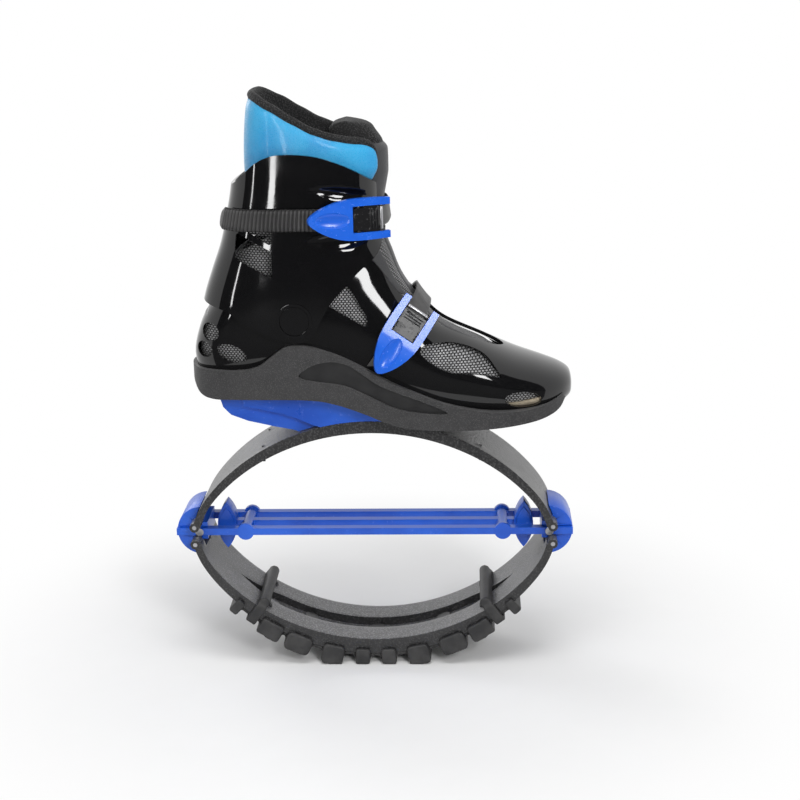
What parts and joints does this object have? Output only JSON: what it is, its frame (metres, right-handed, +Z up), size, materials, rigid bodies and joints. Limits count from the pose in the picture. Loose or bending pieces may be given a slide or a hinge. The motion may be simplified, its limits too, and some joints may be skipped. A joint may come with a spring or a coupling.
{
  "type": "jumping shoe",
  "caption": "Right-foot rebound boot: a moulded buckle boot on two half-ellipse plastic spring bows hinged at their ends and tied by a tension spring, with a rubber tread.",
  "frame": {"origin": "on the floor under the middle of the bows, in their middle plane", "axes": "+Z up, +X towards the toe, -Y the outer side that carries the buckles"},
  "size_m": [0.3172, 0.1129, 0.456],
  "materials": {
    "spring_plastic": "fine pebbled, dark grey",
    "blue_plastic": "satin royal blue",
    "tread_rubber": "matt black",
    "steel": "satin",
    "sole_plastic": "pebbled, dark grey",
    "gloss_shell": "high gloss black",
    "black_plastic": "satin black",
    "footbed_foam": "cream",
    "liner_mesh": "padded mesh",
    "collar_leather": "sky blue, fine grain",
    "tongue_mesh": "padded mesh",
    "strap_plastic": "ribbed, dark grey"
  },
  "bodies": {
    "ground_bow": {"lower_bow": "spring_plastic", "tread": "tread_rubber", "tread_loop_rear": "tread_rubber", "tread_loop_front": "tread_rubber", "tread_rivets": "black_plastic"},
    "spring_links": {"rear_hinge_block": "blue_plastic", "front_hinge_block": "blue_plastic", "knuckle_pins": "steel", "tension_spring": "blue_plastic", "spring_pins": "steel"},
    "boot": {"upper_bow": "spring_plastic", "mounting_wedge": "blue_plastic", "wedge_bolts": "steel", "sole_chassis": "sole_plastic", "lower_shell": "gloss_shell", "footbed": "footbed_foam", "liner_foot": "liner_mesh", "tongue_lower": "tongue_mesh", "cuff_rivets": "steel", "instep_base": "black_plastic", "instep_lever_pin": "steel", "instep_release_pin": "steel", "instep_strap": "strap_plastic", "instep_strap_screw": "steel"},
    "cuff": {"cuff": "gloss_shell", "liner_collar": "collar_leather", "tongue_upper": "tongue_mesh", "cuff_base": "black_plastic", "cuff_lever_pin": "steel", "cuff_release_pin": "steel", "cuff_strap": "strap_plastic", "cuff_strap_screw": "steel"},
    "cuff_lever": {"cuff_lever": "blue_plastic"},
    "instep_lever": {"instep_lever": "blue_plastic"},
    "cuff_release": {"cuff_release": "black_plastic"},
    "instep_release": {"instep_release": "black_plastic"}
  },
  "joints": [
    {"name": "lower_bow_flex", "type": "slide", "parent": "ground_bow", "child": "spring_links", "axis": [0, 0, -1], "range_m": [0, 0.015], "stiffness_N_per_m": 20000, "springref_m": -0.0012, "deforming": ["lower_bow"]},
    {"name": "upper_bow_flex", "type": "slide", "parent": "spring_links", "child": "boot", "axis": [0, 0, -1], "range_m": [0, 0.015], "stiffness_N_per_m": 20000, "springref_m": -0.001, "deforming": ["upper_bow"]},
    {"name": "cuff_flex", "type": "hinge", "parent": "boot", "child": "cuff", "pos_m": [-0.054, 0, 0.2895], "axis": [0, 1, 0], "range_deg": [-5, 20]},
    {"name": "cuff_lever_swing", "type": "hinge", "parent": "cuff", "child": "cuff_lever", "pos_m": [0.01291, -0.04215, 0.3663], "axis": [0, 0, 1], "range_deg": [0, 100]},
    {"name": "instep_lever_swing", "type": "hinge", "parent": "boot", "child": "instep_lever", "pos_m": [0.03902, -0.04334, 0.29485], "axis": [-0.8156, -0.0003, 0.5787], "range_deg": [0, 100]},
    {"name": "cuff_release_press", "type": "hinge", "parent": "cuff", "child": "cuff_release", "pos_m": [-0.00366, -0.05041, 0.3663], "axis": [0, 0, -1], "range_deg": [0, 20], "stiffness_Nm_per_rad": 0.03, "springref_deg": -5.73},
    {"name": "instep_release_press", "type": "hinge", "parent": "boot", "child": "instep_release", "pos_m": [0.02927, -0.05099, 0.2811], "axis": [0.8156, 0.0003, -0.5787], "range_deg": [0, 20], "stiffness_Nm_per_rad": 0.03, "springref_deg": -5.73}
  ],
  "couplings": [
    {"joint": "upper_bow_flex", "follows": "lower_bow_flex", "ratio": 1}
  ]
}
